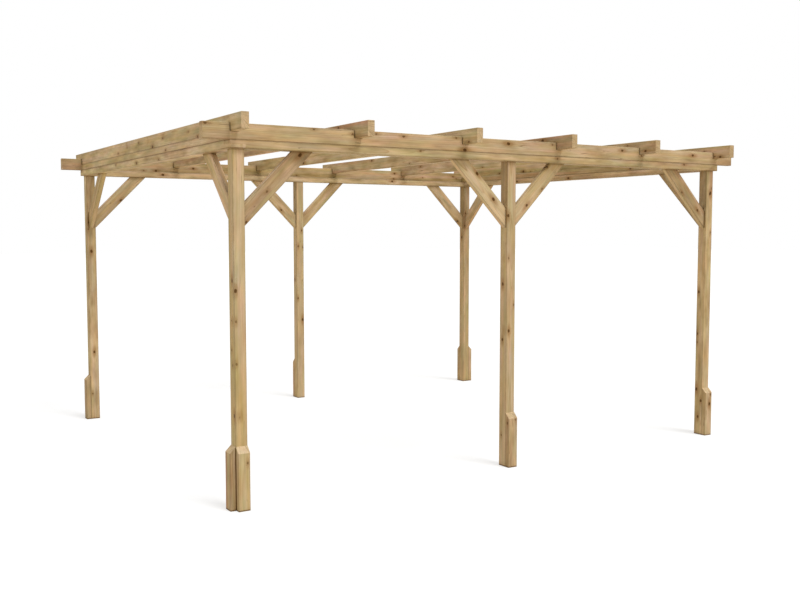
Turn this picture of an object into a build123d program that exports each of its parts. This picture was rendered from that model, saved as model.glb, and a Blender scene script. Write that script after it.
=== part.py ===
"""Flat-roofed garden pergola of planed softwood, in millimetres.

Frame: origin on the ground at the middle of the plan, +X along the long side,
+Y along the rafters from the front row of posts to the back row, +Z up.

The roof is one stock board, 45 x 90, laid flat in the wall plates and on edge in
the beams and rafters, so its layers step up by half a board at a time. Braces
and foot blocks are cut from thinner stock.
"""

import os

from build123d import *

# Stock sections
POST = 70.0
BOARD_T = 45.0
BOARD_W = 90.0
THIN_T = 35.0
POST_ARRIS = 4.0
ARRIS = 3.0
MOUTH_ARRIS = 5.0

# Setting out
POST_HEIGHT = 2000.0
SPAN_X = 3780.0
SPAN_Y = 3100.0
BEAM_LENGTH = 4200.0
RAFTER_LENGTH = 3510.0
RAFTER_COUNT = 6

# Joinery
NOTCH_DEPTH = 45.0
NOTCH_PLAY = 5.0
BLOCK_HEIGHT = 360.0
BRACE_REACH = 427.0

# Levels and faces that follow from the above
PLATE_TOP = POST_HEIGHT + BOARD_T
UPPER_PLATE_TOP = PLATE_TOP + BOARD_T
BEAM_TOP = PLATE_TOP + BOARD_W
POST_X = SPAN_X / 2
POST_Y = SPAN_Y / 2
PLATE_IN_X = POST_X - POST / 2
PLATE_IN_Y = POST_Y - POST / 2
PLATE_OUT_X = PLATE_IN_X + BOARD_W
PLATE_OUT_Y = PLATE_IN_Y + BOARD_W
NOTCH_WIDTH = BOARD_T + NOTCH_PLAY
END_RAFTER_X = PLATE_OUT_X - NOTCH_WIDTH / 2
RAFTER_STEP = 2 * END_RAFTER_X / (RAFTER_COUNT - 1)

SIDES = (("left", -1), ("right", 1))
ROWS = (("front", -1), ("back", 1))


def timber(axis, length, width, height, radius=ARRIS):
    """A straight timber centred on its own axis, with its four long arrises eased."""
    size = {Axis.X: (length, width, height), Axis.Y: (width, length, height), Axis.Z: (width, height, length)}
    bar = Box(*size[axis])
    return fillet(bar.edges().filter_by(axis), radius)


def ease(solid, axis, radius=ARRIS):
    """Round every edge of the solid that runs along one axis and is longer than the board is wide."""
    edges = solid.edges().filter_by(axis).filter_by(lambda edge: edge.length > BOARD_W)
    return fillet(edges, radius)


def rafter_positions():
    """Rafter centre lines along X, from the left end rafter to the right one."""
    return [-END_RAFTER_X + index * RAFTER_STEP for index in range(RAFTER_COUNT)]


def post(x, y):
    """One square post, standing on the ground."""
    return Pos(x, y, POST_HEIGHT / 2) * timber(Axis.Z, POST_HEIGHT, POST, POST, POST_ARRIS)


def foot_block():
    """One foot block against a face at y = 0, standing out towards -Y, with its top cut at 45 degrees."""
    with BuildPart() as block:
        with BuildSketch(Plane.YZ):
            with BuildLine():
                Polyline(
                    (0, 0),
                    (-THIN_T, 0),
                    (-THIN_T, BLOCK_HEIGHT - THIN_T),
                    (0, BLOCK_HEIGHT),
                    close=True,
                )
            make_face()
        extrude(amount=POST / 2, both=True)
        outer = block.faces().sort_by(Axis.Y)[0]
        fillet(outer.edges().filter_by(Axis.Z), ARRIS)
    return block.part


def foot_blocks():
    """Blocks on the outer faces of each post: two at a corner post, one at a middle post."""
    blocks = {}
    for row, row_sign in ROWS:
        turn = 0 if row_sign < 0 else 180
        for column, x in (("left", -POST_X), ("middle", 0), ("right", POST_X)):
            seat = Pos(x, row_sign * (POST_Y + POST / 2), 0) * Rot(0, 0, turn)
            blocks[f"{row}_{column}_foot_block"] = seat * foot_block()
        for side, side_sign in SIDES:
            turn = -90 if side_sign < 0 else 90
            seat = Pos(side_sign * (POST_X + POST / 2), row_sign * POST_Y, 0) * Rot(0, 0, turn)
            blocks[f"{row}_{side}_side_foot_block"] = seat * foot_block()
    return blocks


def long_wall_plate():
    """Plate of a long side, laid flat, its ends halved from below to lie over the side plates."""
    plate = timber(Axis.X, 2 * PLATE_OUT_X, BOARD_W, BOARD_T)
    lap = Box(BOARD_W, BOARD_W, BOARD_T / 2, align=(Align.MIN, Align.CENTER, Align.MAX))
    plate -= Pos(-PLATE_OUT_X, 0, 0) * lap
    plate -= Pos(PLATE_IN_X, 0, 0) * lap
    return Pos(0, 0, POST_HEIGHT + BOARD_T / 2) * plate


def side_wall_plate():
    """Plate of a short side, laid flat, its ends halved from above to lie under the long plates."""
    plate = timber(Axis.Y, 2 * PLATE_OUT_Y, BOARD_W, BOARD_T)
    lap = Box(BOARD_W, BOARD_W, BOARD_T / 2, align=(Align.CENTER, Align.MIN, Align.MIN))
    plate -= Pos(0, -PLATE_OUT_Y, 0) * lap
    plate -= Pos(0, PLATE_IN_Y, 0) * lap
    return Pos(0, 0, POST_HEIGHT + BOARD_T / 2) * plate


def side_upper_plate():
    """Second board on a side plate, fitted between the two beams."""
    length = 2 * (PLATE_OUT_Y - BOARD_T)
    return Pos(0, 0, PLATE_TOP + BOARD_T / 2) * timber(Axis.Y, length, BOARD_W, BOARD_T)


def notched_beam():
    """Beam on edge, its top notched for every rafter, with the mouths of the notches rounded."""
    with BuildPart() as beam:
        with BuildSketch(Plane.XZ):
            with Locations((0, PLATE_TOP + BOARD_W / 2)):
                Rectangle(BEAM_LENGTH, BOARD_W)
            with Locations(*[(x, BEAM_TOP - NOTCH_DEPTH / 2) for x in rafter_positions()]):
                Rectangle(NOTCH_WIDTH, NOTCH_DEPTH, mode=Mode.SUBTRACT)
        extrude(amount=BOARD_T / 2, both=True)
        top_edges = beam.edges().filter_by(Axis.Y).filter_by_position(Axis.Z, BEAM_TOP - 1, BEAM_TOP + 1)
        mouths = top_edges.filter_by_position(Axis.X, 1 - BEAM_LENGTH / 2, BEAM_LENGTH / 2 - 1)
        fillet(mouths, MOUTH_ARRIS)
    return ease(beam.part, Axis.X)


def rafter(x):
    """One rafter on edge, square at both ends, seated in the notches of both beams."""
    return Pos(x, 0, UPPER_PLATE_TOP + BOARD_W / 2) * timber(Axis.Y, RAFTER_LENGTH, BOARD_T, BOARD_W)


def knee_brace():
    """Brace rising towards +X from a face at x = 0, cut plumb against it and level under the plate."""
    plumb_cut = BOARD_W * 2**0.5
    with BuildPart() as brace:
        with BuildSketch(Plane.XZ):
            with BuildLine():
                Polyline(
                    (0, POST_HEIGHT - BRACE_REACH),
                    (0, POST_HEIGHT - BRACE_REACH + plumb_cut),
                    (BRACE_REACH - plumb_cut, POST_HEIGHT),
                    (BRACE_REACH, POST_HEIGHT),
                    close=True,
                )
            make_face()
        extrude(amount=THIN_T / 2, both=True)
        raking = brace.edges().filter_by(lambda edge: abs(edge.tangent_at(0).X * edge.tangent_at(0).Z) > 0.1)
        fillet(raking, ARRIS)
    return brace.part


def knee_braces():
    """Braces along both rows from every post, and along both sides from the corner posts."""
    braces = {}
    for row, row_sign in ROWS:
        y = row_sign * POST_Y
        for side, side_sign in SIDES:
            turn = 0 if side_sign < 0 else 180
            corner = Pos(side_sign * PLATE_IN_X, y, 0) * Rot(0, 0, turn)
            middle = Pos(side_sign * POST / 2, y, 0) * Rot(0, 0, 180 - turn)
            across = Pos(side_sign * POST_X, row_sign * PLATE_IN_Y, 0) * Rot(0, 0, -90 * row_sign)
            braces[f"{row}_{side}_corner_brace"] = corner * knee_brace()
            braces[f"{row}_middle_brace_{side}"] = middle * knee_brace()
            braces[f"{side}_side_{row}_brace"] = across * knee_brace()
    return braces


def build():
    """All pieces, keyed by name."""
    pieces = {}
    for row, row_sign in ROWS:
        for column, x in (("left", -POST_X), ("middle", 0), ("right", POST_X)):
            pieces[f"{row}_{column}_post"] = post(x, row_sign * POST_Y)
        pieces[f"{row}_wall_plate"] = Pos(0, row_sign * (PLATE_OUT_Y - BOARD_W / 2), 0) * long_wall_plate()
        pieces[f"{row}_beam"] = Pos(0, row_sign * (PLATE_OUT_Y - BOARD_T / 2), 0) * notched_beam()
    for side, side_sign in SIDES:
        x = side_sign * (PLATE_OUT_X - BOARD_W / 2)
        pieces[f"{side}_wall_plate"] = Pos(x, 0, 0) * side_wall_plate()
        pieces[f"{side}_upper_plate"] = Pos(x, 0, 0) * side_upper_plate()
    for number, x in enumerate(rafter_positions(), start=1):
        pieces[f"rafter_{number}"] = rafter(x)
    pieces.update(foot_blocks())
    pieces.update(knee_braces())
    return pieces


os.makedirs("parts", exist_ok=True)
for name, piece in build().items():
    piece.label = name
    export_step(piece, f"parts/{name}.step")
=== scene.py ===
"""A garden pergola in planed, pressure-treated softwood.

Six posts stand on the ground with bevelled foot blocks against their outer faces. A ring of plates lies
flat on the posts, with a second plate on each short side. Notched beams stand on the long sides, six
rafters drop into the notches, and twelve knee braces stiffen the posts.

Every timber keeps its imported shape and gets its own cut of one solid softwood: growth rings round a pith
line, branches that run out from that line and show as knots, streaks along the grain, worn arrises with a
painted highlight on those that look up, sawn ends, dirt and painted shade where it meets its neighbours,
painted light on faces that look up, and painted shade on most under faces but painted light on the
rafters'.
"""

import math

import bpy
import numpy as np
from mathutils import Matrix, Vector

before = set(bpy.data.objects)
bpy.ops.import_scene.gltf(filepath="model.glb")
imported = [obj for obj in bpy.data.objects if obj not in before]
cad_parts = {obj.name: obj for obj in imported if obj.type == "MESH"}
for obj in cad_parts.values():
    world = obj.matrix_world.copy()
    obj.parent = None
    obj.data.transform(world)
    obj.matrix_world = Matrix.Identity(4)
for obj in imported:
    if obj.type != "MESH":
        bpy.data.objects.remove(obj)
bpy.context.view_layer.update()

# Faces and levels of the frame in metres, from the middle of the plan and from the ground. The frame is
# symmetric, so one value serves the left and the right, or the front and the back.
POST_X = 1.89
POST_Y = 1.55
POST_HALF = 0.035
POST_TOP = 2.0
BLOCK_TOP = 0.36
BRACE_HALF = 0.0175
BRACE_TOE = 1.573
BRACE_HEEL = 1.7
PLATE_TOP = 2.045
PLATE_OUT_X = 1.945
UPPER_PLATE_TOP = 2.09
BEAM_IN_Y = 1.56
BEAM_OUT_Y = 1.605
BEAM_TOP = 2.135
RAFTER_X = 1.92
RAFTER_PITCH = 0.768
NOTCH_HALF = 0.025


# ---------------------------------------------------------------- laying out nodes


class Pattern:
    """One node tree being laid out. Each method adds nodes, feeds them and gives back what comes out."""

    def __init__(self, tree):
        self.tree = tree

    def feed(self, node, feeds):
        """Fills inputs by name or number: an output is linked, and a plain value is written in."""
        for key, value in feeds.items():
            if isinstance(value, bpy.types.NodeSocket):
                self.tree.links.new(value, node.inputs[key])
            else:
                node.inputs[key].default_value = value

    def add(self, kind, feeds=None, out=0, **settings):
        """Adds a node with its settings and feeds, and gives back one of its outputs."""
        node = self.tree.nodes.new(kind)
        for name, value in settings.items():
            setattr(node, name, value)
        self.feed(node, feeds or {})
        return node.outputs[out]

    def settle(self, group, feeds):
        """Adds a group and gives back all of its outputs."""
        node = self.tree.nodes.new("ShaderNodeGroup")
        node.node_tree = group
        self.feed(node, feeds)
        return node.outputs

    def finish(self, kind, feeds):
        """Ends the tree in an output node."""
        self.feed(self.tree.nodes.new(kind), feeds)

    def parts(self, vector):
        """The three numbers of a vector, or of a colour."""
        return self.add("ShaderNodeSeparateXYZ", {0: vector}).node.outputs

    def maths(self, operation, *values):
        """One sum on plain numbers."""
        return self.add("ShaderNodeMath", dict(enumerate(values)), operation=operation)

    def product(self, first, *others):
        """Several numbers multiplied."""
        for other in others:
            first = self.maths("MULTIPLY", first, other)
        return first

    def largest(self, first, *others):
        """The largest of several numbers."""
        for other in others:
            first = self.maths("MAXIMUM", first, other)
        return first

    def total(self, start, *weighted):
        """A start plus each number times its weight."""
        for number, weight in weighted:
            start = self.maths("ADD", start, self.maths("MULTIPLY", number, weight))
        return start

    def unsigned(self, value):
        """A number without its sign."""
        return self.maths("ABSOLUTE", value)

    def vector(self, operation, *values):
        """One sum on vectors. A dot product or a length gives a number, and scaling takes one second."""
        feeds = dict(enumerate(values))
        if operation == "SCALE":
            feeds = {0: values[0], "Scale": values[1]}
        out = "Value" if operation in ("DOT_PRODUCT", "LENGTH") else "Vector"
        return self.add("ShaderNodeVectorMath", feeds, out=out, operation=operation)

    def noise(self, place, pitch, detail=2.0, roughness=0.5, out="Fac"):
        """Smooth noise. Pitch is how often it swings in a metre, along the grain and both ways across."""
        feeds = {
            "Vector": self.vector("MULTIPLY", place, pitch),
            "Scale": 1.0,
            "Detail": detail,
            "Roughness": roughness,
        }
        return self.add("ShaderNodeTexNoise", feeds, out=out)

    def line_noise(self, along, detail=1.0):
        """Noise that changes along one number only."""
        feeds = {"W": along, "Scale": 1.0, "Detail": detail}
        return self.add("ShaderNodeTexNoise", feeds, noise_dimensions="1D")

    def step(self, value, low, high, at_low=0.0, at_high=1.0):
        """A soft step: at_low below low, at_high above high, and smooth between them."""
        feeds = {0: value, 1: low, 2: high, 3: at_low, 4: at_high}
        return self.add("ShaderNodeMapRange", feeds, interpolation_type="SMOOTHSTEP")

    def stretch(self, value, low, high, at_low=0.0, at_high=1.0):
        """A straight ramp from at_low to at_high, held at both ends."""
        return self.add("ShaderNodeMapRange", {0: value, 1: low, 2: high, 3: at_low, 4: at_high})

    def blend(self, share, first, second, how="MIX"):
        """Colours mixed by a share of the second."""
        feeds = {0: share, 6: first, 7: second}
        return self.add("ShaderNodeMix", feeds, out=2, data_type="RGBA", blend_type=how)

    def curve(self, value, points):
        """A number read off a smooth curve through (position, value) points."""
        shade = self.add("ShaderNodeValToRGB", {0: value})
        ramp = shade.node.color_ramp
        ramp.interpolation = "EASE"
        while len(ramp.elements) < len(points):
            ramp.elements.new(0.5)
        for element, (at, height) in zip(ramp.elements, points):
            element.position = at
            element.color = (height, height, height, 1)
        return shade


def linear(red, green, blue):
    """A paint-chart colour, 0 to 255, as the scene-linear colour that a socket takes."""
    chart = np.array([red, green, blue]) / 255
    low, high = chart / 12.92, ((chart + 0.055) / 1.055) ** 2.4
    return (*np.where(chart <= 0.04045, low, high).tolist(), 1.0)


def new_group(name, inputs, outputs):
    """An empty shader group with its sockets, the pattern that fills it, and what it is given."""
    tree = bpy.data.node_groups.new(name, "ShaderNodeTree")
    for direction, sockets in (("INPUT", inputs), ("OUTPUT", outputs)):
        for label, kind in sockets.items():
            tree.interface.new_socket(label, in_out=direction, socket_type="NodeSocket" + kind)
    given = tree.nodes.new("NodeGroupInput").outputs
    return tree, Pattern(tree), given


# ---------------------------------------------------------------- the softwood

EARLY_WOOD = linear(180, 160, 128)
LATE_WOOD = linear(139, 110, 73)
ROSY_WOOD = linear(171, 137, 108)
MOSSY_WOOD = linear(158, 141, 91)
SAWN_END = linear(218, 192, 154)
GRIME = linear(122, 104, 76)
KNOT_HALO = linear(128, 88, 44)
KNOT_CORE = linear(76, 50, 17)
# Dirt and painted shade in the seams and where timbers meet.
SEAM_DIRT_AND_SHADE = linear(84, 54, 6)
DRYING_CHECK = linear(84, 58, 34)

# A ring's colour from its early wood, 0, to its late wood, 1, across one year.
YEAR = [(0.0, 0.1), (0.3, 0.06), (0.72, 0.45), (0.92, 1.0), (1.0, 0.1)]


def branch_group():
    """One branch in the timber: a round limb that leaves the pith and shows as a knot where a face cuts it.

    The distance from the limb's own line, divided by its radius, gives a dark core below 1 and a drawn-out
    warm halo above it, and pushes the growth rings aside. Branches are chained, so each takes in what the
    last one gave.
    """
    chained = {"Core": "Float", "Halo": "Float", "Bend": "Float"}
    tree, p, given = new_group(
        "branch",
        {
            "Place": "Vector",
            "Foot": "Vector",
            "Direction": "Vector",
            "Radius": "Float",
            "Shade": "Float",
            **chained,
        },
        chained,
    )
    from_foot = p.vector("SUBTRACT", given["Place"], given["Foot"])
    out_along = p.vector("DOT_PRODUCT", from_foot, given["Direction"])
    on_limb = p.vector("SCALE", given["Direction"], out_along)
    aside = p.vector("SUBTRACT", from_foot, on_limb)

    def in_radii(along_grain):
        """Distance from the limb's line over its radius, where a way along the grain counts for less."""
        apart = p.vector("LENGTH", p.vector("MULTIPLY", aside, (along_grain, 1.0, 1.0)))
        return p.maths("DIVIDE", apart, given["Radius"])

    ragged = p.noise(given["Place"], (110.0, 170.0, 170.0), detail=1.0)
    reach = p.product(in_radii(0.72), p.stretch(ragged, 0.25, 0.75, 0.8, 1.25))
    started = p.step(out_along, 0.0, 0.01)
    strength = p.product(started, given["Shade"])
    core = p.product(p.step(reach, 0.72, 1.12, 1.0, 0.0), strength)
    halo = p.product(p.step(in_radii(0.34), 0.7, 2.6, 1.0, 0.0), strength)
    bend = p.product(p.step(reach, 0.2, 3.4, 1.0, 0.0), given["Radius"], started)
    p.finish(
        "NodeGroupOutput",
        {
            "Core": p.largest(given["Core"], core),
            "Halo": p.largest(given["Halo"], halo),
            "Bend": p.maths("ADD", given["Bend"], bend),
        },
    )
    return tree


def growth_rings(p, given, shifted):
    """The place from the pith, how slow noise makes it wander, and late wood from 0 to 1.

    The distance from the pith, less the branches' bend, is divided by the ring width. The fraction of it
    runs through one year, and its whole part gives each year its own strength.
    """
    wander = p.noise(shifted, (1.3, 5.0, 5.0), out="Color")
    wander = p.vector("SUBTRACT", wander, (0.5, 0.5, 0.5))
    wander = p.vector("MULTIPLY", wander, (0.0, 0.034, 0.034))
    from_pith = p.vector("SUBTRACT", given["Place"], given["Pith"])
    from_pith = p.vector("ADD", p.vector("MULTIPLY", from_pith, (0.0, 1.0, 1.0)), wander)
    radius = p.maths("SUBTRACT", p.vector("LENGTH", from_pith), given["Bend"])
    uneven = p.line_noise(p.maths("ADD", p.product(radius, 60.0), p.product(given["Seed"], 9.0)))
    ring = p.total(p.maths("DIVIDE", radius, given["Ring width"]), (uneven, 2.4))
    which = p.maths("ADD", p.maths("FLOOR", ring), given["Seed"])
    strong = p.add("ShaderNodeTexWhiteNoise", {"W": which}, noise_dimensions="1D")
    late = p.product(p.curve(p.maths("FRACT", ring), YEAR), p.stretch(strong, 0.0, 1.0, 0.45, 1.1))
    return from_pith, wander, late


def wear_and_highlight(p, given, shifted):
    """Where the long arrises are worn, from 0 to 1: within a few millimetres of both faces of the section.

    An arris that looks up is painted pale as a highlight, and any other is grimy. Ends are measured along
    the grain.
    """
    inside = p.vector("SUBTRACT", given["Half size"], p.vector("ABSOLUTE", given["Place"]))
    from_end, from_side, from_flat = p.parts(inside)
    chewed = p.noise(shifted, (38.0, 160.0, 160.0), detail=3.0)
    arris = p.maths("ADD", from_side, from_flat)
    worn = p.maths("ADD", arris, p.stretch(chewed, 0.3, 0.7, 0.003, -0.001))
    worn = p.product(p.step(worn, 0.002, 0.009, 1.0, 0.0), p.maths("SUBTRACT", 1.0, given["Cut"]))
    # Faces that look up, which get painted light.
    lit = p.step(given["Upward"], 0.1, 0.5)
    arris_highlight = p.product(worn, lit)
    return from_end, lit, arris_highlight, p.maths("SUBTRACT", worn, arris_highlight)


def drying_checks(p, shifted, patch):
    """Fine splits along the grain, in a few places only: where a drawn-out noise crosses its middle."""
    split = p.noise(shifted, (1.7, 52.0, 52.0), detail=1.0)
    split = p.step(p.unsigned(p.maths("SUBTRACT", split, 0.5)), 0.0015, 0.007, 1.0, 0.0)
    return p.product(split, p.step(patch, 0.53, 0.6))


def end_grain(p, given, shifted, from_pith):
    """What shows on sawn ends: open pores, and short splits that run out from the pith like spokes."""
    turned = p.parts(from_pith)
    bearing = p.maths("ARCTAN2", turned["Z"], turned["Y"])
    spoke = p.line_noise(p.maths("ADD", p.product(bearing, 7.0), given["Seed"]), detail=2.0)
    spoke = p.step(p.unsigned(p.maths("SUBTRACT", spoke, 0.5)), 0.004, 0.02, 1.0, 0.0)
    pores = p.noise(shifted, (420.0, 420.0, 420.0))
    return p.product(p.stretch(pores, 0.3, 0.7, -1.0, 1.0), given["Cut"]), p.product(spoke, given["Cut"])


def tinted_light(p, shifted, light):
    """The light as a colour: warmer where it is darker, with red and blue swung a little by slow noise."""
    tinge = p.parts(p.noise(shifted, (4.5, 32.0, 32.0), out="Color"))
    redder = p.stretch(tinge["X"], 0.2, 0.8, 0.88, 1.12)
    bluer = p.stretch(tinge["Y"], 0.2, 0.8, 0.83, 1.17)
    red = p.product(light, redder)
    green = p.maths("POWER", light, 1.12)
    blue = p.product(p.maths("POWER", light, 1.4), bluer)
    return p.add("ShaderNodeCombineColor", {0: red, 1: green, 2: blue})


def softwood_group():
    """Solid softwood. Place is (along the grain, across, across) from the timber's centre, in metres.

    Streaks, bands and fibres are noises drawn out along the grain. Tone and End tone make the whole timber
    and its sawn ends lighter or darker, Under tone paints shade on its under faces, or light where it is
    above
    0, and Figure sets how strongly the streaks stand out. Faces that look up get painted light, and arrises
    that look up a painted highlight. Cut is 1 where a face is sawn across the grain. Upward is -1 where a
    face looks down and 1 where it looks up.
    """
    tree, p, given = new_group(
        "softwood",
        {
            "Place": "Vector",
            "Pith": "Vector",
            "Half size": "Vector",
            "Seed": "Float",
            "Ring width": "Float",
            "Tone": "Float",
            "Figure": "Float",
            "Pink": "Float",
            "Green": "Float",
            "Cut": "Float",
            "End tone": "Float",
            "Core": "Float",
            "Halo": "Float",
            "Bend": "Float",
            "Seam": "Float",
            "Upward": "Float",
            "Under tone": "Float",
        },
        {"Colour": "Color", "Roughness": "Float", "Height": "Float"},
    )
    cut, core = given["Cut"], given["Core"]
    along_grain = p.maths("SUBTRACT", 1.0, cut)
    # Faces that look down: Under tone paints shade on them, or light where it is above 0.
    looks_down = p.step(given["Upward"], -0.69, -0.55, 1.0, 0.0)
    shifted = p.vector("ADD", given["Place"], p.vector("SCALE", (3.1, 1.7, 2.3), given["Seed"]))
    from_pith, wander, late = growth_rings(p, given, shifted)

    # figure along the grain
    fibre = p.noise(shifted, (14.0, 760.0, 760.0), detail=3.0)
    streak = p.noise(p.vector("ADD", shifted, wander), (1.9, 95.0, 95.0), detail=3.0, roughness=0.6)
    band = p.noise(shifted, (1.1, 21.0, 21.0))
    patch = p.noise(shifted, (7.0, 26.0, 26.0), detail=3.0)
    cloud = p.noise(shifted, (3.2, 11.0, 11.0))
    rosy = p.step(p.noise(shifted, (0.8, 16.0, 19.0)), 0.42, 0.62)
    mossy = p.step(p.noise(shifted, (0.7, 15.0, 13.0)), 0.4, 0.62)
    swings = ((fibre, 0.28), (streak, 0.46), (band, 0.46), (patch, 0.8), (cloud, 0.6))
    figure = p.total(0.0, *((p.maths("SUBTRACT", noise, 0.5), swing) for noise, swing in swings))

    # worn arrises, painted highlights on arrises that look up, splits and ends
    from_end, lit, arris_highlight, grimy = wear_and_highlight(p, given, shifted)
    near_end = p.step(p.total(from_end, (patch, 0.03)), 0.012, 0.05, 1.0, 0.0)
    pores, spokes = end_grain(p, given, shifted, from_pith)
    checks = drying_checks(p, shifted, patch)
    dark_lines = p.largest(p.product(checks, 0.55), p.product(spokes, 0.4))

    # colour
    light = p.total(
        p.maths("ADD", 1.0, given["Tone"]),
        (figure, given["Figure"]),
        (pores, 0.06),
        (cut, given["End tone"]),
        (near_end, -0.06),
        # painted shade on faces that look down, or painted light where Under tone is above 0
        (looks_down, given["Under tone"]),
        # painted highlight on arrises that look up
        (arris_highlight, 0.3),
        # painted light on faces that look up
        (lit, 0.1),
    )
    colour = p.blend(p.product(late, p.stretch(band, 0.3, 0.7, 0.45, 0.95)), EARLY_WOOD, LATE_WOOD)
    colour = p.blend(p.product(rosy, given["Pink"], along_grain), colour, ROSY_WOOD)
    colour = p.blend(p.product(mossy, given["Green"], along_grain), colour, MOSSY_WOOD)
    colour = p.blend(1.0, colour, tinted_light(p, shifted, light), "MULTIPLY")
    colour = p.blend(p.product(cut, 0.42), colour, SAWN_END)
    colour = p.blend(p.product(grimy, 0.4), colour, GRIME)
    colour = p.blend(p.product(given["Halo"], 0.55), colour, KNOT_HALO)
    colour = p.blend(p.product(core, 0.92), colour, KNOT_CORE)
    # dirt and painted shade where the timber meets its neighbours
    colour = p.blend(given["Seam"], colour, SEAM_DIRT_AND_SHADE)
    colour = p.blend(dark_lines, colour, DRYING_CHECK)

    # surface
    coarse = p.maths("SUBTRACT", fibre, 0.5)
    rough = p.total(0.62, (coarse, 0.25), (late, -0.08), (core, -0.14), (cut, 0.14))
    height = p.total(0.0, (late, 0.4), (fibre, 0.9), (streak, 0.5), (core, 0.5), (pores, 0.6))
    height = p.total(height, (dark_lines, -3.0))
    p.finish("NodeGroupOutput", {"Colour": colour, "Roughness": rough, "Height": height})
    return tree


BRANCH = branch_group()
SOFTWOOD = softwood_group()


# ---------------------------------------------------------------- each timber's own wood

# Knots come in four grades: the limb's radius in metres, and how dark the knot is.
KNOT_GRADES = {
    "pin": (0.0065, 0.65),
    "small": (0.0075, 0.8),
    "sound": (0.009, 0.95),
    "black": (0.0105, 1.0),
}

# How far behind its face a named knot's limb starts, in metres.
LIMB_START = 0.05

# Knots that stand out on faces that look to the front: how far right and how high, and the grade.
KNOTS_IN_FRONT = {
    "front_beam": [
        (-2.085, 2.125, "small"), (-1.44, 2.125, "pin"), (-1.19, 2.11, "pin"), (-1.03, 2.12, "pin"),
        (-0.84, 2.115, "small"), (-0.455, 2.125, "pin"), (-0.39, 2.055, "black"), (-0.045, 2.11, "black"),
        (0.325, 2.12, "pin"), (0.96, 2.11, "sound"), (1.15, 2.08, "pin"), (1.675, 2.105, "sound"),
    ],
    "front_wall_plate": [(-0.72, 2.035, "pin"), (0.37, 2.03, "pin"), (1.585, 2.035, "small")],
    "front_left_corner_brace": [(-1.51, 1.98, "black"), (-1.715, 1.77, "pin"), (-1.84, 1.6, "small")],
    "front_middle_brace_left": [(-0.265, 1.915, "black"), (-0.135, 1.755, "black")],
    "front_middle_brace_right": [(0.14, 1.72, "sound"), (0.27, 1.83, "pin"), (0.315, 1.975, "small")],
    "front_right_corner_brace": [(1.61, 1.835, "small"), (1.78, 1.705, "sound")],
    "front_left_post": [(-1.915, 1.225, "sound"), (-1.915, 1.055, "pin"), (-1.915, 0.82, "pin")],
    "front_middle_post": [
        (-0.025, 1.65, "sound"), (-0.02, 1.375, "pin"), (0.025, 1.07, "pin"), (-0.015, 0.9, "sound"),
    ],
    "front_right_post": [
        (1.911, 1.87, "pin"), (1.9, 1.835, "black"), (1.892, 1.828, "sound"), (1.91, 1.54, "pin"),
    ],
    "front_left_foot_block": [(-1.87, 0.27, "pin")],
    "front_middle_foot_block": [(0.02, 0.315, "pin")],
    "front_right_foot_block": [(1.91, 0.31, "small"), (1.9, 0.24, "black")],
    "back_beam": [
        (-1.435, 2.06, "pin"), (-1.33, 2.06, "sound"), (-1.0, 2.09, "sound"), (-0.01, 2.06, "pin"),
        (1.04, 2.06, "small"), (1.05, 2.11, "sound"), (1.38, 2.08, "pin"), (1.75, 2.1, "small"),
        (1.79, 2.08, "pin"),
    ],
    "back_wall_plate": [(-1.285, 2.025, "black"), (0.995, 2.03, "sound")],
    "back_left_corner_brace": [(-1.64, 1.805, "sound")],
    "back_middle_brace_left": [(-0.18, 1.74, "sound")],
    "back_right_corner_brace": [(1.79, 1.65, "sound")],
    "back_left_post": [
        (-1.91, 1.62, "sound"), (-1.915, 1.565, "pin"), (-1.895, 1.385, "black"), (-1.89, 0.555, "sound"),
        (-1.91, 0.21, "pin"),
    ],
    "back_middle_post": [
        (0.015, 1.555, "small"), (-0.02, 1.41, "small"), (0.025, 1.4, "pin"), (-0.025, 0.93, "small"),
        (0.02, 0.73, "black"),
    ],
    "back_right_post": [(1.875, 1.73, "small"), (1.87, 1.6, "sound")],
}

# The same on faces that look to the left: how far back and how high, and the grade.
KNOTS_ON_LEFT = {
    "front_left_post": [
        (-1.56, 1.28, "sound"), (-1.545, 0.895, "pin"), (-1.555, 0.81, "pin"), (-1.57, 0.53, "sound"),
    ],
    "front_middle_post": [(-1.545, 1.205, "sound"), (-1.545, 0.84, "sound"), (-1.54, 0.205, "pin")],
    "front_middle_foot_block": [(-1.605, 0.295, "small")],
    "front_right_post": [
        (-1.56, 1.72, "pin"), (-1.535, 1.09, "sound"), (-1.53, 0.77, "small"), (-1.53, 0.705, "pin"),
        (-1.53, 0.345, "black"), (-1.575, 0.26, "sound"), (-1.55, 0.135, "sound"),
    ],
    "back_middle_post": [(1.555, 1.86, "pin"), (1.56, 1.1, "sound")],
    "back_right_post": [(1.55, 1.485, "black")],
    "left_wall_plate": [(-0.4, 2.01, "small"), (0.075, 2.015, "sound"), (0.58, 2.03, "small")],
    "left_upper_plate": [(-0.54, 2.06, "small")],
    "right_upper_plate": [(-0.8, 2.06, "sound")],
    "right_wall_plate": [(-0.055, 2.015, "black"), (0.66, 2.015, "sound")],
    "rafter_1": [
        (-1.105, 2.1, "small"), (-0.95, 2.14, "pin"), (-0.48, 2.14, "small"), (-0.27, 2.1, "black"),
        (0.03, 2.15, "small"), (0.52, 2.11, "small"),
    ],
    "rafter_2": [(-1.405, 2.165, "small")],
    "rafter_3": [(-1.67, 2.1, "small"), (0.615, 2.105, "black")],
    "rafter_4": [(-1.46, 2.16, "black"), (0.21, 2.105, "pin"), (0.825, 2.165, "sound")],
    "rafter_5": [
        (-1.66, 2.11, "sound"), (-1.485, 2.16, "pin"), (0.235, 2.1, "pin"), (1.215, 2.16, "small"),
    ],
    "rafter_6": [
        (-1.67, 2.1, "sound"), (-1.62, 2.105, "pin"), (-1.52, 2.15, "pin"), (0.515, 2.105, "pin"),
        (0.62, 2.11, "black"), (0.985, 2.11, "small"),
    ],
}

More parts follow.
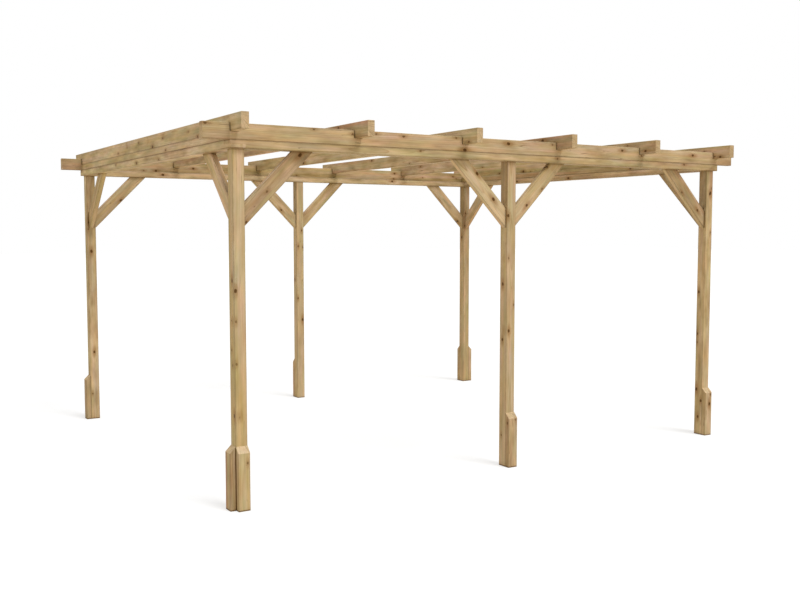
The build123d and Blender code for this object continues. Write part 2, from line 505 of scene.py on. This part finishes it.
# Timbers that differ from the rest: how much lighter or darker, then rosiness and mossiness.
TONES = {
    "back_beam": (-0.04, 0.5, 0.5),
    "back_left_corner_brace": (-0.04, 0.3, 0.4),
    "back_left_post": (-0.03, 0.2, 0.5),
    "back_left_side_foot_block": (-0.1, 0.4, 0.3),
    "back_middle_brace_left": (0.06, 0.0, 0.1),
    "back_middle_brace_right": (0.01, 0.2, 0.5),
    "back_middle_post": (0.04, 0.1, 0.2),
    "back_right_corner_brace": (0.0, 0.15, 0.0),
    "back_wall_plate": (-0.01, 0.15, 0.1),
    "front_beam": (0.05, 0.35, 0.2),
    "front_left_corner_brace": (-0.09, 0.4, 0.0),
    "front_left_foot_block": (0.12, 0.2, 0.4),
    "front_left_post": (0.14, 0.0, 0.65),
    "front_left_side_foot_block": (-0.13, 0.95, 0.0),
    "front_middle_brace_left": (0.12, 0.15, 0.2),
    "front_middle_brace_right": (0.1, 0.2, 0.3),
    "front_middle_foot_block": (-0.07, 0.4, 0.0),
    "front_middle_post": (0.07, 0.2, 0.3),
    "front_right_corner_brace": (-0.27, 0.3, 0.0),
    "front_right_foot_block": (0.01, 0.2, 0.4),
    "front_right_post": (0.1, 0.45, 0.4),
    "front_wall_plate": (-0.03, 0.4, 0.3),
    "left_side_back_brace": (-0.04, 0.7, 0.4),
    "left_side_front_brace": (0.11, 0.3, 0.3),
    "left_upper_plate": (0.0, 0.3, 0.5),
    "left_wall_plate": (0.14, 0.3, 0.5),
    "rafter_1": (0.06, 0.15, 0.4),
    "rafter_2": (0.0, 1.0, 0.2),
    "rafter_3": (0.05, 0.4, 0.5),
    "rafter_4": (0.02, 0.8, 0.2),
    "rafter_5": (0.07, 0.4, 0.5),
    "rafter_6": (0.14, 0.6, 0.7),
    "right_side_back_brace": (0.0, 0.5, 0.0),
    "right_side_front_brace": (-0.07, 0.1, 0.0),
    "right_upper_plate": (-0.1, 0.8, 0.6),
    "right_wall_plate": (-0.05, 0.4, 0.1),
}

# Braces whose under face gets its own painted light, above 0, or painted shade, below 0: how much lighter
# or darker it is.
UNDER_TONES = {
    "back_middle_brace_left": -0.1,
    "back_right_corner_brace": -0.15,
    "front_middle_brace_left": 0.08,
    "front_right_corner_brace": 0.24,
}

# Timbers that are plainer or livelier than most, where 1 is usual: how strongly their streaks stand out.
FIGURES = {
    "back_beam": 1.25,
    "back_left_corner_brace": 0.75,
    "back_left_post": 1.35,
    "back_middle_post": 0.75,
    "back_right_post": 0.8,
    "back_wall_plate": 1.25,
    "front_left_foot_block": 0.6,
    "front_left_post": 0.6,
    "front_middle_brace_left": 0.85,
    "front_middle_brace_right": 0.75,
    "front_middle_post": 0.65,
    "front_right_post": 1.3,
    "left_side_front_brace": 1.3,
    "left_wall_plate": 1.5,
    "rafter_1": 1.2,
    "rafter_2": 1.4,
    "rafter_3": 1.4,
    "rafter_4": 1.15,
    "rafter_5": 1.25,
    "right_wall_plate": 1.2,
}

# Level seams where one layer lies on another: the level, and how dark the dirt and shade are there.
LAYERS = {
    "front_beam": [(PLATE_TOP, 0.68)],
    "back_beam": [(PLATE_TOP, 0.68)],
    "front_wall_plate": [(PLATE_TOP, 0.68)],
    "back_wall_plate": [(PLATE_TOP, 0.6)],
    "left_wall_plate": [(PLATE_TOP, 0.6)],
    "right_wall_plate": [(PLATE_TOP, 0.6)],
    "left_upper_plate": [(PLATE_TOP, 0.6), (UPPER_PLATE_TOP, 0.35)],
    "right_upper_plate": [(PLATE_TOP, 0.6), (UPPER_PLATE_TOP, 0.35)],
    "rafter_1": [(UPPER_PLATE_TOP, 0.35)],
    "rafter_6": [(UPPER_PLATE_TOP, 0.35)],
}


def grain_frame(name):
    """How a timber lies: its centre, turn, half size and low corner, with the first axis along the grain.

    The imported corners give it. A square-cut timber's grain runs along its longest side. A knee brace's
    runs at 45 degrees in its own plane, up or down as the corners' two coordinates rise together or apart.
    The second axis runs along the section's wide side and the third along its thin one.
    """
    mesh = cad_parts[name].data
    corners = np.empty(len(mesh.vertices) * 3, np.float32)
    mesh.vertices.foreach_get("co", corners)
    corners = corners.reshape(-1, 3).astype(float)
    extent = np.ptp(corners, axis=0)
    if "brace" in name:
        level = 0 if extent[0] > extent[1] else 1
        spread = corners - corners.mean(axis=0)
        rise = math.copysign(1.0, float((spread[:, level] * spread[:, 2]).sum()))
        along = np.eye(3)[level] + np.array([0.0, 0.0, rise])
        thin = np.eye(3)[1 - level]
    else:
        order = np.argsort(extent)
        along = np.eye(3)[order[2]]
        thin = np.eye(3)[order[0]]
    along /= np.linalg.norm(along)
    axes = np.stack([along, np.cross(thin, along), thin])
    reach = corners @ axes.T
    low, high = reach.min(axis=0), reach.max(axis=0)
    return {
        "axes": axes,
        "centre": (high + low) / 2 @ axes,
        "half": (high - low) / 2,
        "low": corners.min(axis=0),
    }


def named_limbs(name, lie, draw):
    """The limbs under a timber's named knots, each nearly square to the face that its knot shows on.

    A limb is its starting place, which lies a little way behind the face, its direction, its radius and its
    shade.
    """
    left_face, front_face = lie["low"][:2]
    knots = [((x, front_face, z), grade) for x, z, grade in KNOTS_IN_FRONT.get(name, [])]
    knots += [((left_face, y, z), grade) for y, z, grade in KNOTS_ON_LEFT.get(name, [])]
    limbs = []
    for knot, grade in knots:
        spot = lie["axes"] @ (np.array(knot) - lie["centre"])
        side = 1 + int(np.argmin(lie["half"][1:] - np.abs(spot[1:])))
        out = np.zeros(3)
        out[side] = math.copysign(1.0, spot[side])
        out += 0.25 * draw.uniform(-1, 1, 3)
        out /= np.linalg.norm(out)
        limbs.append((spot - LIMB_START * out, out, *KNOT_GRADES[grade]))
    return limbs


def drawn_limbs(lie, pith, draw):
    """Limbs drawn for the faces that look back, right or up, spread along the timber.

    There are about two to a metre. Each leans away from the pith and starts inside the timber, so its knot
    shows on one side only.
    """
    half = lie["half"]
    count = max(1, round(2 * half[0] * draw.uniform(1.4, 2.2)))
    limbs = []
    for number in range(count):
        side = int(draw.integers(1, 3))
        facing = lie["axes"][side]
        sign = 1.0 if facing[np.argmax(np.abs(facing))] > 0 else -1.0
        spot = draw.uniform(-0.75, 0.75, 3) * half
        spot[0] = (-1 + (2 * number + draw.uniform(0.2, 1.8)) / count) * half[0] * 0.96
        spot[side] = sign * half[side]
        out = np.array([draw.uniform(-0.3, 0.3), *((spot - pith)[1:] * 4)])
        out[side] += sign * 0.6
        out /= np.linalg.norm(out)
        start = spot - out * half[side] * 1.3
        limbs.append((start, out, draw.uniform(0.003, 0.008), draw.uniform(0.45, 1.0)))
    return limbs


def chain_branches(p, place, limbs):
    """The limbs' knots and the bend that they give the rings, each branch group feeding the next."""
    grown = {"Core": 0.0, "Halo": 0.0, "Bend": 0.0}
    for start, out, radius, shade in limbs:
        limb = {"Foot": start.tolist(), "Direction": out.tolist(), "Radius": radius, "Shade": shade}
        made = p.settle(BRANCH, {"Place": place, **limb, **grown})
        grown = {key: made[key] for key in grown}
    return grown


def cut_from_the_log(name, draw):
    """What sets one timber's wood apart: its pith, off the timber's middle, its seed, rings and tints."""
    bearing = draw.uniform(0, 2 * math.pi)
    away = draw.uniform(0.03, 0.085)
    wood = {
        "Pith": (0.0, away * math.cos(bearing), away * math.sin(bearing)),
        "Seed": draw.uniform(0, 50),
        "Ring width": draw.uniform(0.0026, 0.0044),
        "Tone": draw.uniform(-0.03, 0.03),
        "Pink": draw.uniform(0.15, 0.7),
        "Green": draw.uniform(0.15, 0.6),
        "Figure": FIGURES.get(name, 1.0),
    }
    if name in TONES:
        lighter, wood["Pink"], wood["Green"] = TONES[name]
        wood["Tone"] += lighter
    return wood


def sawn_end_of(name):
    """How open the grain shows on a timber's sawn ends, from 0 to 1, and how much lighter they are.

    Plates' ends are dark and closed, and foot blocks' are pale. Each rafter's ends are a little darker than
    those of the rafter on its left.
    """
    if "plate" in name:
        return 0.35, -0.5
    if "rafter" in name:
        return 1.0, -0.08 * int(name[-1])
    if "foot" in name:
        return 1.0, 0.1
    return 1.0, 0.0


def under_tone_of(name):
    """How much painted light a timber's under faces get over its other faces, or painted shade where it is
    below 0.
    """
    if "rafter" in name:
        return 0.06
    if "plate" in name or "beam" in name:
        return -0.14
    return UNDER_TONES.get(name, 0.0)


# ---------------------------------------------------------------- dirt and painted shade in the seams
#
# Each mark is a number, 0 for clean wood and 1 for the darkest dirt and painted shade, made of soft steps
# on distances in metres.
# The distances are taken from x, y and z, the place in the whole frame.

DARK_OVER_POST = 0.75
DARK_NOTCH_RIM = 0.4
DARK_BEAM_END = 0.19
DARK_IN_NOTCH = 0.45
DARK_BESIDE_BRACE = 0.72
DARK_ROW_POCKET = 0.3
DARK_SIDE_POCKET = 0.06
DARK_UNDER_PLATE = 0.42
DARK_ON_GROUND = 0.8


def layer_seams(p, name, x, z, upright):
    """Dark lines where layers lie on each other, from the distance above or below each seam's level.

    A beam's line stops where the beam runs past its plate.
    """
    marks = []
    for level, dark in LAYERS.get(name, []):
        gap = p.unsigned(p.maths("SUBTRACT", z, level))
        mark = p.product(p.step(gap, 0.002, 0.0045, dark, 0.0), upright)
        if "beam" in name:
            on_plate = p.step(p.unsigned(x), PLATE_OUT_X - 0.005, PLATE_OUT_X + 0.005, 1.0, 0.0)
            mark = p.product(mark, on_plate)
        marks.append(mark)
    return marks


def plate_on_post(p, name, x, y, z, upright):
    """A dark line of painted shade along a wall plate's bottom edge, over each post and about 5 cm to its
    sides.
    """
    from_post = p.maths("SUBTRACT", POST_Y, p.unsigned(y))
    if name in ("front_wall_plate", "back_wall_plate"):
        from_post = p.maths("PINGPONG", p.maths("ADD", x, POST_X), POST_X / 2)
    edge = p.step(z, POST_TOP + 0.002, POST_TOP + 0.0045, DARK_OVER_POST, 0.0)
    return p.product(edge, upright, p.step(from_post, 0.08, 0.09, 1.0, 0.0))


def notch_rims(p, x, z):
    """Shade round a beam's notches, from how far a point lies outside the nearest, sideways or below."""
    from_rafter = p.maths("PINGPONG", p.maths("ADD", x, RAFTER_X), RAFTER_PITCH / 2)
    sideways = p.maths("SUBTRACT", from_rafter, NOTCH_HALF)
    below = p.maths("SUBTRACT", UPPER_PLATE_TOP, z)
    return p.step(p.largest(sideways, below), 0.001, 0.005, DARK_NOTCH_RIM, 0.0)


def darker_ends(p, x):
    """A beam's ends made darker, where they run past the plate."""
    return p.step(p.unsigned(x), PLATE_OUT_X - 0.003, PLATE_OUT_X + 0.005, 0.0, DARK_BEAM_END)


def rafter_in_notch(p, y, z):
    """Shade on a rafter down in the notches, from each beam's inner face to just past its outer one."""
    away = p.unsigned(y)
    outer = p.step(away, BEAM_OUT_Y + 0.002, BEAM_OUT_Y + 0.007, DARK_IN_NOTCH, 0.0)
    inner = p.step(away, BEAM_IN_Y - 0.004, BEAM_IN_Y)
    return p.product(outer, inner, p.step(z, BEAM_TOP - 0.005, BEAM_TOP + 0.003, 1.0, 0.0))


def groove_at_corner(p, centre, at, z):
    """Painted shade in the groove between two foot blocks, from the distance to the corner post's outer
    corner.
    """
    corner_x = math.copysign(POST_X + POST_HALF, centre[0])
    corner_y = math.copysign(POST_Y + POST_HALF, centre[1])
    apart = p.vector("SUBTRACT", at, (corner_x, corner_y, 0.0))
    apart = p.vector("LENGTH", p.vector("MULTIPLY", apart, (1.0, 1.0, 0.0)))
    between_blocks = p.step(z, BLOCK_TOP - 0.02, BLOCK_TOP + 0.01, 1.0, 0.0)
    return p.product(p.step(apart, 0.0025, 0.0055, 1.0, 0.0), between_blocks)


def braces_on_post(p, name, centre, x, y, z):
    """Shade on a post beside the end of each brace, from its toe to its heel, and in the pocket over it.

    Inward is the way from the post's middle towards the brace, and aside is the way across the brace. The
    pockets along the rows are darker than those along the sides.
    """
    from_x = p.maths("SUBTRACT", x, float(centre[0]))
    from_y = p.maths("SUBTRACT", y, float(centre[1]))
    braced = [(p.unsigned(from_x), from_y, DARK_ROW_POCKET)]
    if "middle" not in name:
        inward_x = p.product(from_x, -math.copysign(1.0, centre[0]))
        inward_y = p.product(from_y, -math.copysign(1.0, centre[1]))
        braced = [(inward_x, from_y, DARK_ROW_POCKET), (inward_y, from_x, DARK_SIDE_POCKET)]
    above_toe = p.step(z, BRACE_TOE - 0.005, BRACE_TOE + 0.007)
    below_heel = p.step(z, BRACE_HEEL - 0.002, BRACE_HEEL + 0.012, 1.0, 0.0)
    marks = []
    for inward, aside, dark in braced:
        beside = p.step(
            p.unsigned(aside), BRACE_HALF + 0.0025, BRACE_HALF + 0.0125, DARK_BESIDE_BRACE, 0.0
        )
        pocket = p.step(z, BRACE_HEEL - 0.01, BRACE_HEEL + 0.04, 0.0, dark)
        on_face = p.step(inward, POST_HALF - 0.003, POST_HALF - 0.0005)
        end = p.product(above_toe, below_heel, beside)
        marks.append(p.product(p.largest(end, pocket), on_face))
    return marks


def seams_of(p, name, centre, at, tilt):
    """How dark a timber is where it meets its neighbours: the largest of its marks.

    Tilt is how far a face looks up or down, from 0 to 1, and the level seams show on upright faces only.
    """
    x, y, z = p.parts(at)
    upright = p.step(tilt, 0.4, 0.7, 1.0, 0.0)
    marks = layer_seams(p, name, x, z, upright)
    if "wall_plate" in name:
        marks.append(plate_on_post(p, name, x, y, z, upright))
    if "beam" in name:
        marks += [notch_rims(p, x, z), darker_ends(p, x)]
    if "rafter" in name:
        marks.append(rafter_in_notch(p, y, z))
    if ("foot" in name or "post" in name) and "middle" not in name:
        marks.append(groove_at_corner(p, centre, at, z))
    if "post" in name:
        marks += braces_on_post(p, name, centre, x, y, z)
    if "post" in name or "brace" in name:
        # Painted shade on posts and braces just under the plates.
        under_plate = p.step(z, POST_TOP - 0.014, POST_TOP - 0.001, 0.0, DARK_UNDER_PLATE)
        marks.append(under_plate)
    if "foot" in name or "post" in name:
        # Dirt and painted contact shade along the ground.
        on_ground = p.step(z, 0.003, 0.011, DARK_ON_GROUND, 0.0)
        marks.append(on_ground)
    return p.largest(0.0, *marks)


# ---------------------------------------------------------------- the timbers' materials

SHINE = 0.05
GRAIN_DEPTH = 0.00045


def bare_pattern(owner):
    """Clears the nodes of a material or a world and gives the pattern that fills it."""
    owner.use_nodes = True
    owner.node_tree.nodes.clear()
    return Pattern(owner.node_tree)


def timber_material(name, number):
    """One timber's own material: its cut from the log, its branches, its seams, and the softwood group."""
    draw = np.random.default_rng(1000 + number)
    lie = grain_frame(name)
    cut_wood = cut_from_the_log(name, draw)
    limbs = named_limbs(name, lie, draw)
    limbs += drawn_limbs(lie, cut_wood["Pith"], draw)
    open_grain, end_tone = sawn_end_of(name)
    material = bpy.data.materials.new(name + "_softwood")
    p = bare_pattern(material)

    at = p.add("ShaderNodeTexCoord", out="Object")
    turn = Matrix(lie["axes"].T.tolist()).to_euler("XYZ")
    lying = {"Vector": at, "Location": lie["centre"].tolist(), "Rotation": turn}
    place = p.add("ShaderNodeMapping", lying, vector_type="TEXTURE")
    facing = p.add("ShaderNodeNewGeometry", out="Normal")
    across = p.unsigned(p.vector("DOT_PRODUCT", facing, lie["axes"][0].tolist()))
    upward = p.vector("DOT_PRODUCT", facing, (0.0, 0.0, 1.0))

    wood = p.settle(
        SOFTWOOD,
        {
            "Place": place,
            "Half size": lie["half"].tolist(),
            "Cut": p.step(across, 0.5, 0.68, 0.0, open_grain),
            "End tone": end_tone,
            "Seam": seams_of(p, name, lie["centre"], at, p.unsigned(upward)),
            "Upward": upward,
            "Under tone": under_tone_of(name),
            **cut_wood,
            **chain_branches(p, place, limbs),
        },
    )
    bump = p.add("ShaderNodeBump", {"Strength": 1.0, "Distance": GRAIN_DEPTH, "Height": wood["Height"]})
    surface = {
        "Base Color": wood["Colour"],
        "Roughness": wood["Roughness"],
        "Specular IOR Level": SHINE,
        "Normal": bump,
    }
    p.finish("ShaderNodeOutputMaterial", {"Surface": p.add("ShaderNodeBsdfPrincipled", surface)})
    return material


for number, name in enumerate(sorted(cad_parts)):
    finish = timber_material(name, number)
    for material_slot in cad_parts[name].material_slots:
        material_slot.material = finish


# ---------------------------------------------------------------- floor, light and camera

# Places are in metres, angles in degrees, and the lens and sensor in millimetres.
FLOOR_REACH = 60.0
FLOOR_GLOW = 0.54
SOFT_STRENGTH = 0.76
KEY_STRENGTH = 1.85
KEY_SPREAD = 24.0
KEY_COMES_FROM = (0.16, -0.49, 0.8)
EYE = (-3.9494, -6.5343, 1.5548)
EYE_TILT = 85.881
EYE_TURN = -32.0265
LENS = 43.44
SENSOR_WIDTH = 36.0


def seen_as(p, for_camera, otherwise):
    """Mixes two shaders: one for what the camera sees straight or in a shine, one for all other light."""
    ray = p.add("ShaderNodeLightPath").node.outputs
    seen = p.largest(ray["Is Camera Ray"], ray["Is Glossy Ray"], ray["Is Transmission Ray"])
    return p.add("ShaderNodeMixShader", {0: seen, 1: otherwise, 2: for_camera})


def floor_material():
    """Pale for the camera, partly matt and partly glowing, and warm for the light it throws back."""
    material = bpy.data.materials.new("pale_floor")
    p = bare_pattern(material)
    warm = p.add("ShaderNodeBsdfDiffuse", {"Color": (0.92, 0.82, 0.63, 1)})
    matt = p.add("ShaderNodeBsdfDiffuse", {"Color": (0.97, 0.985, 1, 1)})
    paper = p.add("ShaderNodeEmission", {"Color": (1, 1, 1, 1), "Strength": 1.0})
    pale = p.add("ShaderNodeMixShader", {0: FLOOR_GLOW, 1: matt, 2: paper})
    p.finish("ShaderNodeOutputMaterial", {"Surface": seen_as(p, pale, warm)})
    return material


def floor():
    """A plain square floor, flat and wide, lying at the feet of the posts."""
    across = np.array([-FLOOR_REACH, FLOOR_REACH])
    x, y = np.meshgrid(across, across)
    places = np.stack([x.ravel(), y.ravel(), np.zeros(4)], axis=1)
    mesh = bpy.data.meshes.new("studio_floor")
    mesh.from_pydata(places.tolist(), [], [(0, 1, 3, 2)])
    mesh.materials.append(floor_material())
    ground = bpy.data.objects.new("studio_floor", mesh)
    bpy.context.scene.collection.objects.link(ground)


def soft_light():
    """Soft, slightly warm light from all round, behind a plain white backdrop."""
    world = bpy.data.worlds.new("studio")
    bpy.context.scene.world = world
    p = bare_pattern(world)
    white = p.add("ShaderNodeBackground", {"Color": (1, 1, 1, 1), "Strength": 1.0})
    soft = p.add("ShaderNodeBackground", {"Color": (1, 0.975, 0.94, 1), "Strength": SOFT_STRENGTH})
    p.finish("ShaderNodeOutputWorld", {"Surface": seen_as(p, white, soft)})


def key_light():
    """A wide key lamp, high in front and a little to the right."""
    lamp = bpy.data.lights.new("key_lamp", "SUN")
    lamp.energy = KEY_STRENGTH
    lamp.angle = math.radians(KEY_SPREAD)
    key = bpy.data.objects.new("key_lamp", lamp)
    key.rotation_euler = Vector(KEY_COMES_FROM).to_track_quat("Z", "Y").to_euler()
    bpy.context.scene.collection.objects.link(key)


def camera():
    """At eye height, in front and to the left, looking across the long side."""
    lens = bpy.data.cameras.new("camera")
    lens.lens = LENS
    lens.sensor_width = SENSOR_WIDTH
    eye = bpy.data.objects.new("camera", lens)
    eye.location = EYE
    eye.rotation_euler = (math.radians(EYE_TILT), 0.0, math.radians(EYE_TURN))
    bpy.context.scene.collection.objects.link(eye)
    bpy.context.scene.camera = eye


floor()
soft_light()
key_light()
camera()
bpy.context.scene.view_settings.view_transform = "Standard"
